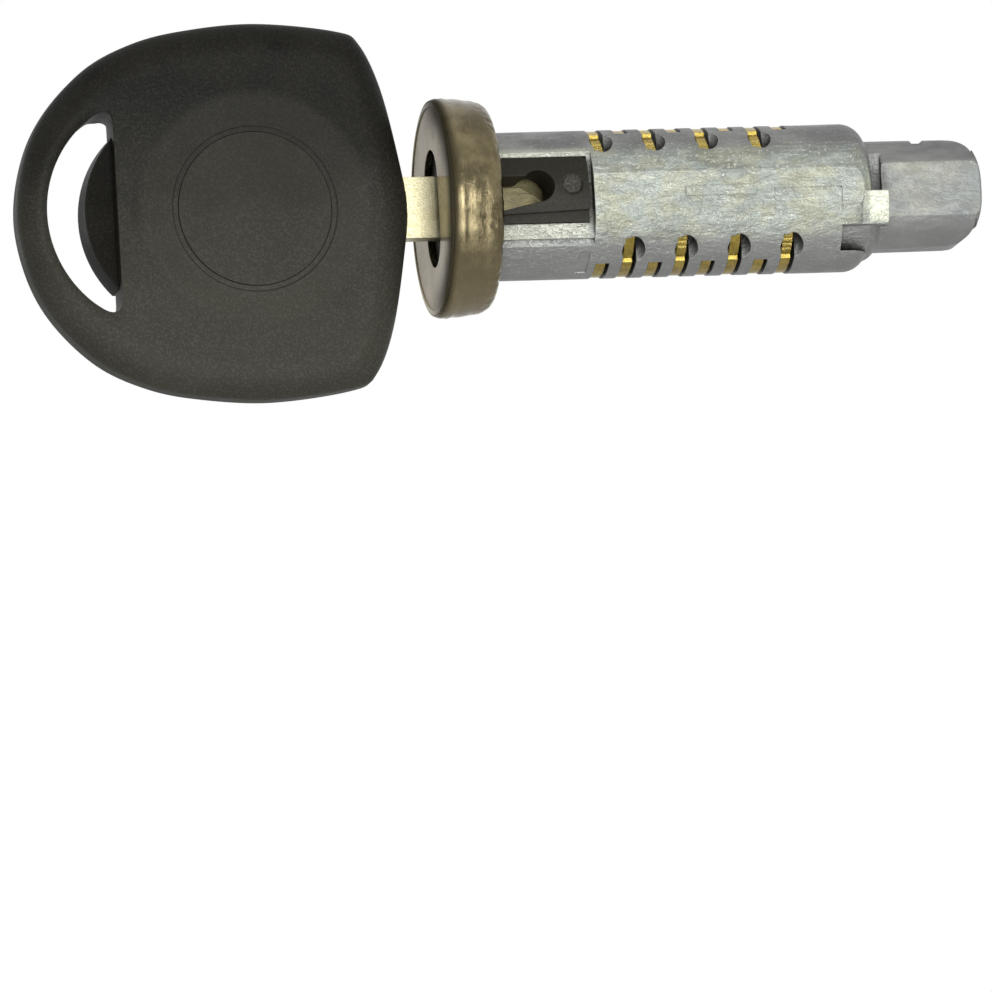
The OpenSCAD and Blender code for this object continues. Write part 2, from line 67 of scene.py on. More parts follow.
def aim_camera(azimuth, elevation, tilt):
    a, e, r = (math.radians(v) for v in (azimuth, elevation, tilt))
    back = Vector((math.sin(a) * math.cos(e), -math.cos(a) * math.cos(e), math.sin(e)))
    right = Vector((0, 0, 1)).cross(back).normalized()
    up = back.cross(right)
    across = right * math.cos(r) + up * math.sin(r)
    upward = up * math.cos(r) - right * math.sin(r)
    turn = Matrix((across, upward, back)).transposed()
    return Matrix.Translation(LOOKED_AT + back * DISTANCE) @ turn.to_4x4()


lens = bpy.data.cameras.new("camera")
lens.sensor_width = 36
lens.lens = POINTS_PER_MM * (DISTANCE / MM) * lens.sensor_width / PICTURE
lens.clip_start = 0.1
lens.clip_end = 20
camera = bpy.data.objects.new("camera", lens)
scene.collection.objects.link(camera)
camera.matrix_world = aim_camera(-11.436, -8.476, -3.342)
scene.camera = camera
scene.view_settings.view_transform = "Standard"
print("lens in mm:", round(lens.lens))

# %% [markdown]
# A materials helper. A number or a colour that changes over a surface is a wire between nodes. Wrapping a
# wire in a small class lets the maths be written as maths: 1 - worn * 0.5 adds the nodes by itself. Every
# other kind of node is made by one method, which takes its type, its settings and its inputs.

# %% Wires and finishes
class Wire:
    def __init__(self, tree, socket=None):
        self.tree = tree
        self.socket = socket

    def node(self, kind, settings=None, inputs=None, output=0):
        made = self.tree.nodes.new(kind)
        for name, value in (settings or {}).items():
            if name == "stops":
                ramp = made.color_ramp
                while len(ramp.elements) < len(value):
                    ramp.elements.new(0.5)
                for element, (place, shade) in zip(ramp.elements, value):
                    element.position = place
                    element.color = shade
            else:
                setattr(made, name, value)
        for name, value in (inputs or {}).items():
            if isinstance(value, Wire):
                self.tree.links.new(value.socket, made.inputs[name])
            else:
                made.inputs[name].default_value = value
        return Wire(self.tree, made.outputs[output])

    def maths(self, operation, first, second=0.0, clamp=False):
        return self.node("ShaderNodeMath", {"operation": operation, "use_clamp": clamp}, {0: first, 1: second})

    def __add__(self, other):
        return self.maths("ADD", self, other)

    def __radd__(self, other):
        return self.maths("ADD", other, self)

    def __sub__(self, other):
        return self.maths("SUBTRACT", self, other)

    def __rsub__(self, other):
        return self.maths("SUBTRACT", other, self)

    def __mul__(self, other):
        return self.maths("MULTIPLY", self, other)

    def __rmul__(self, other):
        return self.maths("MULTIPLY", other, self)

    def size(self):
        return self.maths("ABSOLUTE", self)

    # 0 where the wire is under low, 1 where it is over high, smooth between
    def step(self, low, high):
        return self.node("ShaderNodeMapRange", {"interpolation_type": "SMOOTHSTEP"},
                         {"Value": self, "From Min": low, "From Max": high})


def rgba(red, green, blue):
    return (red, green, blue, 1.0)


def mix(share, first, second):
    settings = {"data_type": "RGBA"}
    return share.node("ShaderNodeMix", settings, {0: share, 6: first, 7: second}, 2)


# %% [markdown]
# Each finish starts from one Principled shader. Patterns are laid out in the object's own coordinates, which
# are metres here, so a noise with a scale of 1000 has bumps about a millimetre apart.

# %% Start of a finish
class Finish:
    def __init__(self, name):
        self.material = bpy.data.materials.new(name)
        self.material.use_nodes = True
        self.tree = self.material.node_tree
        self.shader = self.tree.nodes["Principled BSDF"]
        self.start = Wire(self.tree)
        self.place = self.start.node("ShaderNodeTexCoord", output=3)

    def set(self, **values):
        for name, value in values.items():
            socket = self.shader.inputs[name.replace("_", " ")]
            if isinstance(value, Wire):
                self.tree.links.new(value.socket, socket)
            else:
                socket.default_value = value

    def along(self, axis):
        return self.start.node("ShaderNodeSeparateXYZ", None, {0: self.place}, "XYZ".index(axis))

    def stretched(self, x, y, z):
        return self.start.node("ShaderNodeMapping", None, {0: self.place, 3: (x, y, z)})

    def noise(self, bumps_per_mm, detail=3, roughness=0.5, place=None, distortion=0.0):
        inputs = {"Vector": place or self.place, "Scale": bumps_per_mm / MM, "Detail": detail,
                  "Roughness": roughness, "Distortion": distortion}
        return self.start.node("ShaderNodeTexNoise", None, inputs)

    def cells(self, cells_per_mm, place=None):
        inputs = {"Vector": place or self.place, "Scale": cells_per_mm / MM}
        return self.start.node("ShaderNodeTexVoronoi", None, inputs)

    def soft_edges(self, radius):
        return self.start.node("ShaderNodeBevel", {"samples": 4}, {"Radius": radius})

    def bump(self, height, depth, strength=1.0, under=None):
        inputs = {"Height": height, "Distance": depth, "Strength": strength}
        if under:
            inputs["Normal"] = under
        return self.start.node("ShaderNodeBump", None, inputs)

    # distance in the X and Z directions only
    def away_from(self, middle):
        return self.start.node("ShaderNodeVectorMath", {"operation": "DISTANCE"},
                               {0: self.stretched(1, 0, 1), 1: middle}, 1)

    # 1 on outer edges and inner corners, 0 on open faces
    def edges(self, radius):
        flat = self.start.node("ShaderNodeNewGeometry", output=1)
        turned = self.start.node("ShaderNodeVectorMath", {"operation": "DOT_PRODUCT"},
                                 {0: flat, 1: self.soft_edges(radius)}, 1)
        return (1 - turned).step(0.01, 0.12)

    # 1 deep in corners and cavities, 0 in the open
    def crevices(self, reach):
        open_sky = self.start.node("ShaderNodeAmbientOcclusion", {"samples": 6}, {"Distance": reach}, 1)
        return (1 - open_sky).step(0.25, 0.85)


def dress(finish, *names):
    for name in names:
        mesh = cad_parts[name].data
        mesh.materials.clear()
        mesh.materials.append(finish.material)


# %% [markdown]
# Cast zinc. The plug is a die casting: its round top and bottom carry the smooth grey skin of the mould, and
# the flats along its sides are rougher and brighter, with flow marks and little pits. So the colour is mixed
# by how far out to the side a place lies, which also paints shade on the top and bottom, and then broken up
# by noise of several sizes. The corners are painted dark, as painted shade with some dirt, and the edges are
# painted lighter, partly as polish from handling and partly as a painted highlight.

# %% Cast zinc
def cast_zinc():
    zinc = Finish("cast zinc")
    along, out = zinc.along("X"), zinc.along("Y").size()
    wander = zinc.noise(0.5, 4, 0.7, zinc.stretched(0.5, 1, 1))
    # Lighter flats and a darker round top and bottom: partly the casting's own two surfaces, partly painted shade.
    side = (out + (wander - 0.5) * (0.8 * MM)).step(5.1 * MM, 6.9 * MM)
    tail = along.step(41.0 * MM, 41.3 * MM) * out.step(4.8 * MM, 4.94 * MM)
    lug = along.step(38.3 * MM, 39 * MM) * out.step(6.3 * MM, 6.6 * MM)
    clouds = zinc.noise(0.3, 3, 0.55, zinc.stretched(0.5, 1, 1)).step(0.35, 0.68)
    flow = zinc.noise(1.1, 4, 0.65, zinc.stretched(0.65, 1, 1), 0.3).step(0.38, 0.66)
    streaks = zinc.noise(2.4, 3, 0.6, zinc.stretched(0.16, 1, 1)).step(0.50, 0.68)
    flecks = zinc.noise(3.6, 3, 0.75, zinc.stretched(0.85, 1, 1), 0.3).step(0.55, 0.65)
    grain = zinc.noise(10, 3, 0.7)
    pits = zinc.cells(2.6).step(0.0, 0.22)
    # Painted light from below: the round skin is painted lighter towards the bottom.
    under = zinc.along("Z").step(-0.5 * MM, -6 * MM)
    skin = mix(clouds, rgba(0.150, 0.152, 0.150), rgba(0.235, 0.238, 0.230))
    skin = mix(under * 0.55, skin, rgba(0.33, 0.335, 0.325))
    warm = zinc.noise(0.42, 3, 0.6, zinc.stretched(0.7, 1, 1)).step(0.42, 0.62)
    flat = mix(clouds * 0.45 + flow * 0.55, mix(warm, rgba(0.200, 0.216, 0.198), rgba(0.215, 0.220, 0.172)),
               mix(warm, rgba(0.37, 0.402, 0.37), rgba(0.40, 0.408, 0.32)))
    colour = mix(side, skin, flat)
    shelf = along.step(10 * MM, 9.7 * MM) * out.step(5.6 * MM, 5.9 * MM)
    colour = mix(shelf * 0.6, colour, rgba(0.40, 0.41, 0.34))
    tail_flat = mix(clouds, rgba(0.170, 0.182, 0.178), rgba(0.235, 0.235, 0.200))
    colour = mix(tail * 0.8, colour, tail_flat)
    colour = mix(lug * 0.7, colour, rgba(0.74, 0.77, 0.62))
    smooth_end = 1 - 0.7 * along.step(40.4 * MM, 41 * MM)
    rough_parts = (0.25 + 0.75 * side) * smooth_end
    colour = mix(streaks * rough_parts * 0.25, colour, rgba(0.58, 0.60, 0.53))
    # Bright flecks on the rough parts are painted sparkle, that is, painted highlights.
    colour = mix(flecks * rough_parts * 0.6, colour, rgba(0.78, 0.80, 0.70))
    colour = mix((1 - pits) * rough_parts * 0.55, colour, rgba(0.09, 0.09, 0.07))
    # Edges painted lighter: partly polish from handling, partly a painted highlight.
    colour = mix(zinc.edges(0.1 * MM) * 0.4, colour, rgba(0.72, 0.74, 0.66))
    # Painted shade with some dirt: corners and cavities are painted dark, less so towards the tail.
    crevice_shade_and_dirt = 0.85 - 0.35 * along.step(37 * MM, 38 * MM) - 0.5 * along.step(47.2 * MM, 48.2 * MM)
    colour = mix(zinc.crevices(2.6 * MM) * crevice_shade_and_dirt, colour, rgba(0.030, 0.028, 0.022))
    height = (flow * 0.9 + grain * 0.3 + flecks * 0.45 + pits * 0.3 + streaks * 0.2) * smooth_end
    zinc.set(Base_Color=colour, Metallic=0.75, Roughness=0.34 + 0.14 * flow + 0.12 * grain,
             Normal=zinc.bump(height, 0.07 * MM, 0.85, zinc.soft_edges(0.45 * MM - 0.33 * MM * smooth_end)))
    return zinc


dress(cast_zinc(), "plug")

# %% [markdown]
# Worn plating. The collar is pressed steel with a nickel skin that has gone warm and dull, with small flecks
# and smears where it was rolled over the flange and handled since. Its front face is smoother, so that it
# mirrors the blade.

# %% Worn plating
def worn_plating(name, tone, smooth, dents, scratch_turn, edge_tone=(1, 1, 1, 1)):
    plate = Finish(name)
    smudge = plate.noise(0.3, 4, 0.65).step(0.36, 0.64)
    scratch = plate.noise(2.2, 5, 0.75, plate.stretched(*scratch_turn)).step(0.48, 0.72)
    flecks = plate.noise(1.6, 4, 0.75, None, 0.9).step(0.55, 0.72)
    colour = mix(smudge, rgba(*[c * 0.62 for c in tone]), rgba(*[c * 1.12 for c in tone]))
    colour = mix(scratch * 0.35, colour, rgba(*[min(1, c * 1.5) for c in tone]))
    colour = mix(flecks * 0.35, colour, rgba(*[c * 0.4 for c in tone]))
    # Edges painted lighter: partly wear on the plating, partly a painted highlight.
    colour = mix(plate.edges(0.12 * MM) * 0.35, colour, rgba(0.62, 0.58, 0.47))
    from_axis = plate.start.node("ShaderNodeVectorMath", {"operation": "LENGTH"}, {0: plate.stretched(0, 1, 1)}, 1)
    # Painted shade: the near side of the front rim is painted dark and made less metallic.
    rim = from_axis.step(6.2 * MM, 10.3 * MM) * plate.along("X").step(-3.9 * MM, -4.8 * MM)
    painted_rim_shade = rim * plate.along("Y").step(5 * MM, -5 * MM)
    # Painted light from below: the plating is painted lighter towards the bottom.
    under = plate.along("Z").step(-3 * MM, -10 * MM)
    colour = mix(under * 0.5, colour, rgba(*[c * 2.0 for c in tone]))
    colour = mix(painted_rim_shade * 0.85, colour, rgba(*[c * 0.2 for c in tone]))
    # Painted shade: corners and hollows are painted dark.
    colour = mix(plate.crevices(1.6 * MM) * 0.55, colour, rgba(0.02, 0.018, 0.012))
    plate.set(Base_Color=colour, Metallic=1 - 0.9 * painted_rim_shade, Specular_IOR_Level=0.0,
              Specular_Tint=edge_tone, Roughness=smooth + 0.14 * smudge + 0.1 * scratch,
              Normal=plate.bump(scratch * 0.4 + flecks * 0.6 + smudge * 0.4, dents, 0.6,
                                plate.soft_edges(0.15 * MM)))
    return plate


ring_plating = worn_plating("worn plating on the ring", (0.168, 0.140, 0.080), 0.13, 0.03 * MM, (2.5, 0.35, 0.35))
dress(ring_plating, "collar_ring")
dress(worn_plating("worn plating on the face", (0.122, 0.108, 0.080), 0.12, 0.01 * MM, (1, 1.5, 0.3),
                   rgba(0.88, 0.84, 0.78)), "face_plate")
dress(worn_plating("bright spring steel", (0.50, 0.50, 0.49), 0.2, 0.01 * MM, (1, 1, 1)), "shutter_flap",
      "shutter_pin", "shutter_spring", *[f"wafer_spring_{i}" for i in range(1, 9)])

# %% [markdown]
# Brass wafers. They are stamped from strip, so their faces are smooth and their cut edges, which are what
# shows at the plug's surface, have fine lines across the thickness and a bright polish from the bore; the
# edges are painted brighter, partly for that polish and partly as a painted highlight, and the corners carry
# painted shade.

# %% Brass
def stamped_brass():
    brass = Finish("stamped brass")
    stain = brass.noise(0.9, 4, 0.6).step(0.35, 0.7)
    lines = brass.noise(5, 3, 0.6, brass.stretched(2.4, 0.3, 0.3)).step(0.4, 0.7)
    colour = mix(stain, rgba(0.26, 0.19, 0.038), rgba(0.46, 0.345, 0.075))
    colour = mix(lines * 0.3, colour, rgba(0.72, 0.56, 0.18))
    # Cut edges painted brighter: partly polish from the bore, partly a painted highlight.
    colour = mix(brass.edges(0.1 * MM) * 0.45, colour, rgba(0.95, 0.84, 0.34))
    # Painted shade: corners and pockets round the wafers are painted dark.
    colour = mix(brass.crevices(2.0 * MM) * 0.85, colour, rgba(0.04, 0.028, 0.008))
    brass.set(Base_Color=colour, Metallic=1.0, Roughness=0.22 + 0.16 * stain,
              Normal=brass.bump(lines * 0.6 + stain * 0.4, 0.02 * MM, 0.7, brass.soft_edges(0.12 * MM)))
    return brass


dress(stamped_brass(), *[f"wafer_{i}" for i in range(1, 9)])

# %% [markdown]
# The blade is nickel silver, paler and less yellow than brass, with a sandy tumbled surface. Only a fine,
# fairly strong grain gives that look of many tiny sparkles. Inside the lock the blade is painted darker as painted
# shade.

# %% Blade metal
def tumbled_nickel_silver():
    blade = Finish("tumbled nickel silver")
    sand = blade.noise(6.5, 3, 0.75)
    dull = blade.noise(0.4, 3, 0.5).step(0.35, 0.7)
    rub = blade.noise(3, 4, 0.7, blade.stretched(0.08, 1, 1)).step(0.5, 0.75)
    colour = mix(dull, rgba(0.62, 0.57, 0.35), rgba(0.77, 0.72, 0.50))
    colour = mix(sand.step(0.48, 0.62) * 0.55, colour, rgba(0.36, 0.31, 0.16))
    # Edges painted lighter: partly wear, partly a painted highlight.
    colour = mix(blade.edges(0.12 * MM) * 0.4, colour, rgba(0.92, 0.88, 0.68))
    # Painted shade: the blade is painted darker where it lies inside the lock.
    inside_lock_shade = blade.along("X").step(-1 * MM, 2 * MM)
    colour = mix(inside_lock_shade * 0.6, colour, rgba(0.13, 0.11, 0.05))
    # Painted shade: the track, the corners and the parts deep in the lock are painted dark.
    colour = mix(blade.crevices(4.5 * MM) * 0.85, colour, rgba(0.05, 0.042, 0.018))
    blade.set(Base_Color=colour, Metallic=1.0, Roughness=0.3 + 0.15 * dull,
              Normal=blade.bump(sand * 0.8 + rub * 0.3, 0.05 * MM, 0.8, blade.soft_edges(0.15 * MM)))
    return blade


dress(tumbled_nickel_silver(), "key_blade")

# %% [markdown]
# Moulded plastics. The key head has the fine grain that a spark-eroded mould leaves, so it is matte with tiny
# glints, painted as light specks. The side insert comes from a polished mould, so it has some sheen and faint
# flow lines instead. All of them are painted lighter towards the bottom as painted light from below.

# %% Moulded plastics
def moulded_plastic(name, dark, light, grain_per_mm, grain_depth, rough, specks_share, spot=None,
                    ior=1.2, dish=None):
    plastic = Finish(name)
    grain = plastic.noise(grain_per_mm, 3, 0.6)
    beads = plastic.cells(grain_per_mm * 0.8)
    rubbed = plastic.noise(0.12, 3, 0.5).step(0.35, 0.7)
    # Painted light from below: the plastic is painted lighter towards the bottom, the line blurred by rubbed patches.
    painted_light_below = (plastic.along("Z") + (rubbed - 0.5) * (8 * MM)).step(11 * MM, -13 * MM)
    specks = plastic.noise(4.2, 2, 0.6).step(0.48, 0.64)
    colour = mix(painted_light_below * 0.8 + rubbed * 0.2, rgba(*dark), rgba(*light))
    if dish:
        # Painted light: the area round the inlay, out to the edge of the shallow dish, is painted a little lighter.
        colour = mix(plastic.away_from(dish).step(12.4 * MM, 11.2 * MM) * 0.12, colour, rgba(0.08, 0.077, 0.06))
    # Light specks are painted glints, weighted towards the part painted lighter from below.
    colour = mix(specks * specks_share * (0.4 + 0.6 * painted_light_below), colour, rgba(0.14, 0.135, 0.11))
    if spot:
        colour = mix(plastic.away_from(spot).step(1.15 * MM, 0.85 * MM) * 0.8, colour, mix(specks, rgba(0.035, 0.034, 0.026),
                                                                        rgba(0.095, 0.092, 0.075)))
    # Edges painted lighter: partly wear, partly a painted highlight.
    colour = mix(plastic.edges(0.3 * MM) * 0.15, colour, rgba(0.09, 0.09, 0.08))
    # Painted shade: corners and hollows are painted near black.
    colour = mix(plastic.crevices(0.5 * MM) * 0.7, colour, rgba(0.003, 0.003, 0.003))
    plastic.set(Base_Color=colour, Roughness=rough + 0.1 * rubbed + 0.12 * grain, IOR=ior,
                Normal=plastic.bump(grain * 0.6 + beads * 0.4, grain_depth, 0.9,
                                    plastic.soft_edges(0.18 * MM)))
    return plastic


head_plastic = moulded_plastic("grained head plastic", (0.003, 0.0028, 0.0018), (0.038, 0.0365, 0.028),
                               3.8, 0.065 * MM, 0.40, 0.14, dish=(-23.8 * MM, 0, 0))
inlay_plastic = moulded_plastic("worn inlay plastic", (0.020, 0.019, 0.0135), (0.036, 0.034, 0.026),
                                3.8, 0.065 * MM, 0.40, 0.14)
insert_plastic = moulded_plastic("insert plastic", (0.014, 0.0135, 0.0095), (0.030, 0.028, 0.021),
                                 1.6, 0.03 * MM, 0.34, 0.10, (8.1 * MM, 0, 1.05 * MM))
dress(insert_plastic, "shutter_carrier")
dress(head_plastic, "key_head")
dress(inlay_plastic, "head_inlay_front", "head_inlay_back")
dress(moulded_plastic("carrier plastic", (0.003, 0.0028, 0.002), (0.009, 0.0085, 0.006),
                      3.0, 0.02 * MM, 0.38, 0.06, ior=1.12), "transponder_carrier")
dress(moulded_plastic("cast resin", (0.02, 0.02, 0.021), (0.035, 0.035, 0.035),
                      2.0, 0.02 * MM, 0.3, 0.3), "transponder")

# %% [markdown]
# The key head is a moulded pillow, so it is made again here with finer rounding than the solid has. Its outline
# is one smooth closed curve through a few points, given as shares of the head's length and half width. Two
# measuring helpers follow from a curve: how far it lies from a middle point in any direction, and how far
# any place is from it.

# %% Outline of the head
head_low, head_high = (Vector(corner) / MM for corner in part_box("key_head"))
inlay_low, inlay_high = (Vector(corner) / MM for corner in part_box("head_inlay_front"))
MIDDLE = Vector(((inlay_low.x + inlay_high.x) / 2, 0))
HALF_OUTLINE = [(0, 0), (0.01, 0.2), (0.05, 0.62), (0.1, 0.873), (0.16, 0.949), (0.37, 1), (0.56, 0.969),
                (0.69, 0.904), (0.81, 0.776), (0.915, 0.552), (0.975, 0.305), (1, 0)]


def closed_curve(points, steps):
    curve = []
    for k in range(len(points)):
        a, b, c, d = (points[(k + j) % len(points)] for j in (-1, 0, 1, 2))
        for t in (j / steps for j in range(steps)):
            curve.append((2 * b + (c - a) * t + (2 * a - 5 * b + 4 * c - d) * t ** 2
                          + (3 * b - a - 3 * c + d) * t ** 3) / 2)
    return curve


def reach_of(curve):
    rays = sorted((math.atan2(p.y - MIDDLE.y, p.x - MIDDLE.x), (p - MIDDLE).length) for p in curve)
    rays = [(rays[-1][0] - math.tau, rays[-1][1])] + rays + [(rays[0][0] + math.tau, rays[0][1])]
    angles = [angle for angle, _ in rays]

    def reach(angle):
        k = min(max(bisect.bisect_right(angles, angle), 1), len(rays) - 1)
        (a, near), (b, far) = rays[k - 1], rays[k]
        return near + (far - near) * (angle - a) / (b - a)
    return reach


def distance_to(curve):
    tree = KDTree(len(curve))
    for k, place in enumerate(curve):
        tree.insert(place.to_3d(), k)
    tree.balance()

    def distance(place):
        k = tree.find(place.to_3d())[1]
        best = math.inf
        for a, b in ((curve[k - 1], curve[k]), (curve[k], curve[(k + 1) % len(curve)])):
            share = min(1, max(0, (place - a).dot(b - a) / (b - a).length_squared))
            best = min(best, (place - a - (b - a) * share).length)
        return best
    return distance


whole = HALF_OUTLINE + [(x, -z) for x, z in HALF_OUTLINE[-2:0:-1]]
outline = closed_curve([Vector((head_high.x - x * (head_high.x - head_low.x), z * head_high.z))
                        for x, z in whole], 20)
outline_reach = reach_of(outline)
outline_distance = distance_to(outline)
print("outline points:", len(outline), "front to middle in mm:", round(outline_reach(0), 2))

# %% [markdown]
# The loop opening is a round window with one straight side. It starts as a flat circle that is cut along the
# straight side, its two corners are rounded with a bevel, and it is made thick, so that it can be taken
# away from the head. Its far half flares a little, as the core of a mould does.

# %% Loop opening
LOOP_RADIUS = 11.9
LOOP_MIDDLE = Vector((head_low.x + 2.8 + LOOP_RADIUS, 0))
LOOP_EDGE = head_low.x + 9.9


def thick_opening():
    shape = bmesh.new()
    bmesh.ops.create_circle(shape, cap_ends=True, segments=256, radius=LOOP_RADIUS)
    bmesh.ops.rotate(shape, verts=shape.verts, matrix=Matrix.Rotation(math.pi / 2, 3, "X"))
    bmesh.ops.translate(shape, verts=shape.verts, vec=(LOOP_MIDDLE.x, 0, 0))
    bmesh.ops.bisect_plane(shape, geom=shape.verts[:] + shape.edges[:] + shape.faces[:], dist=0.0001,
                           plane_co=(LOOP_EDGE, 0, 0), plane_no=(1, 0, 0), clear_outer=True)
    corners = [v for v in shape.verts if abs(v.co.x - LOOP_EDGE) < 0.001]
    close = [v for v in shape.verts if v not in corners
             and min((v.co - corner.co).length for corner in corners) < 2]
    bmesh.ops.dissolve_verts(shape, verts=close)
    bmesh.ops.bevel(shape, geom=corners, affect="VERTICES", offset=1.84, segments=8, profile=0.5, material=-1)
    print("opening's area in square mm:", round(sum(f.calc_area() for f in shape.faces), 1))
    up = bmesh.ops.extrude_face_region(shape, geom=shape.faces[:])
    raised = [v for v in up["geom"] if isinstance(v, bmesh.types.BMVert)]
    bmesh.ops.translate(shape, verts=raised, vec=(0, 20, 0))
    bmesh.ops.translate(shape, verts=shape.verts, vec=(0, -10, 0))
    bmesh.ops.bisect_plane(shape, geom=shape.verts[:] + shape.edges[:] + shape.faces[:], dist=0.0001,
                           plane_co=(0, 0.4, 0), plane_no=(0, 1, 0))
    flared = [v for v in shape.verts if v.co.y > 1 and v.co.x > LOOP_EDGE - 1.5]
    bmesh.ops.translate(shape, verts=flared, vec=(2.4, 0, 0))
    bmesh.ops.recalc_face_normals(shape, faces=shape.faces)
    return shape


# %% [markdown]
# The head itself is a grid wrapped round like a map of a globe. One way it runs round the outline. The other
# way it runs from the middle of the near face over the edge to the middle of the far face: first the seat of
# the inlay, its faint rim and the shallow dish as plain circles, then rings that change from a circle into
# the outline, then the rounded edge. Merging the doubled points closes the seam and both poles.

# %% Head
EDGE_ROUND = 3.5
EDGE_HEIGHT = 0.9
DISH = (8.5, 12.5, 0.25)
HALF = head_high.y


def half_thickness(place):
    from_edge = outline_distance(place)
    height = HALF
    if from_edge < EDGE_ROUND:
        rise = math.sqrt(1 - (1 - from_edge / EDGE_ROUND) ** 2)
        height = EDGE_HEIGHT + (HALF - EDGE_HEIGHT) * rise
    inside = (DISH[1] - (place - MIDDLE).length) / (DISH[1] - DISH[0])
    if inside > 0:
        height -= DISH[2] * inside * inside * (3 - 2 * inside)
    lip = 1 - ((place - LOOP_MIDDLE).length - LOOP_RADIUS) / 1.3
    if lip > 0 and place.x < LOOP_EDGE:
        height -= 0.55 * min(lip, 1.5) ** 2 * min(1, (LOOP_EDGE - place.x) / 3)
    return height


SEAT = [(0, 2.85), (4, 2.85), (7.88, 2.85), (7.88, 3.17), (8.36, 3.17), (8.42, 3.1), (8.5, 3.25)]
CIRCLES = [8.8, 9.3, 9.9, 10.5, 11.1, 11.8, 12.5]
BETWEEN = 22
EDGES = [3.5, 3.2, 2.9, 2.55, 2.2, 1.85, 1.5, 1.2, 0.95, 0.72, 0.53, 0.37, 0.24, 0.14, 0.07, 0.025, 0.005, 0]
rings = len(SEAT) + len(CIRCLES) + BETWEEN + len(EDGES)


def ring_place(ring, angle):
    toward = Vector((math.cos(angle), math.sin(angle)))
    if ring < len(SEAT):
        return MIDDLE + toward * SEAT[ring][0], SEAT[ring][1]
    ring -= len(SEAT)
    if ring < len(CIRCLES):
        reach = CIRCLES[ring]
    else:
        ring -= len(CIRCLES)
        whole_reach = outline_reach(angle)
        slant = (outline_reach(angle + 0.01) - outline_reach(angle - 0.01)) / (0.02 * whole_reach)
        lean = math.sqrt(1 + slant * slant)
        if ring < BETWEEN:
            share = (ring + 1) / (BETWEEN + 1)
            reach = CIRCLES[-1] + (whole_reach - EDGES[0] * lean - CIRCLES[-1]) * share
        else:
            reach = whole_reach - EDGES[ring - BETWEEN] * lean
    place = MIDDLE + toward * reach
    return place, half_thickness(place)


def wrapped_head():
    head = bmesh.new()
    rows = 2 * rings - 1
    bmesh.ops.create_grid(head, x_segments=400, y_segments=rows, size=0.5)
    known = {}
    for vert in head.verts:
        row = round((vert.co.y + 0.5) * rows)
        column = round((vert.co.x + 0.5) * 400)
        side, ring = (-1, row) if row < rings else (1, 2 * rings - 1 - row)
        if (ring, column) not in known:
            known[ring, column] = ring_place(ring, column / 400 * math.tau - math.pi)
        place, height = known[ring, column]
        vert.co = (place.x, side * height, place.y)
    bmesh.ops.remove_doubles(head, verts=head.verts, dist=0.0005)
    bmesh.ops.recalc_face_normals(head, faces=head.faces)
    return head


def as_piece(name, shape, finish):
    bmesh.ops.scale(shape, verts=shape.verts, vec=(MM, MM, MM))
    data = bpy.data.meshes.new(name)
    shape.to_mesh(data)
    shape.free()
    data.materials.append(finish.material)
    piece = bpy.data.objects.new(name, data)
    scene.collection.objects.link(piece)
    return piece


def take_away(piece, *cutters):
    for cutter in cutters:
        cut = piece.modifiers.new("cut", "BOOLEAN")
        cut.object = cutter
        cut.solver = "EXACT"
    seen = piece.evaluated_get(bpy.context.evaluated_depsgraph_get())
    finished = bpy.data.meshes.new_from_object(seen)
    piece.modifiers.clear()
    piece.data = finished
    for cutter in cutters:
        bpy.data.objects.remove(cutter)


def carrier_seat():
    low, high = (Vector(corner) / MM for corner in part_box("transponder_carrier"))
    seat = bmesh.new()
    bmesh.ops.create_cube(seat, size=1)
    bmesh.ops.scale(seat, verts=seat.verts, vec=high - low + Vector((0.1, 0.1, 0.1)))
    bmesh.ops.translate(seat, verts=seat.verts, vec=(high + low) / 2)
    return seat


head = as_piece("moulded_head", wrapped_head(), head_plastic)
take_away(head, as_piece("loop_cutter", thick_opening(), head_plastic),
          as_piece("seat_cutter", carrier_seat(), head_plastic))
head.data.shade_smooth()
head.data.set_sharp_from_angle(angle=math.radians(40))
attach(head, "key")
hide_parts("key_head")
print("head:", len(head.data.polygons), "faces")

# %% [markdown]
# The collar ring is pressed from sheet: its front edge is rolled over the plate, its barrel is very slightly
# wavy, and its back edge is crimped inwards with small uneven dents. A closed profile is drawn as points that
# give a place along the plug and a radius, joined by edges, and spun once round the plug's axis. The dents are
# a smooth noise that moves the points near the back edge.

# %% Collar ring
ring_low, ring_high = (Vector(corner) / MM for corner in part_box("collar_ring"))
plate_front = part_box("face_plate")[0][0] / MM
LIP = [(0, 10.22), (-0.07, 10.26), (-0.12, 10.4), (-0.1, 10.6), (0.02, 10.84), (0.22, 11.02), (0.5, 11.1),
       (0.85, 11.08), (1.1, 11.14), (1.3, 11.07), (1.7, 11.02), (2.2, 11.04), (2.7, 10.99), (3.1, 10.91)]
CRIMP_LENGTH, CRIMP_HEIGHT, CRIMP_RADIUS, CRIMP_REACH = 1.92, 1.0, 10.84, 0.4
INSIDE = [(4.55, 7.62), (4.1, 7.62), (4.1, 10.1), (0.78, 10.1), (0.78, 10.92), (0, 10.92)]


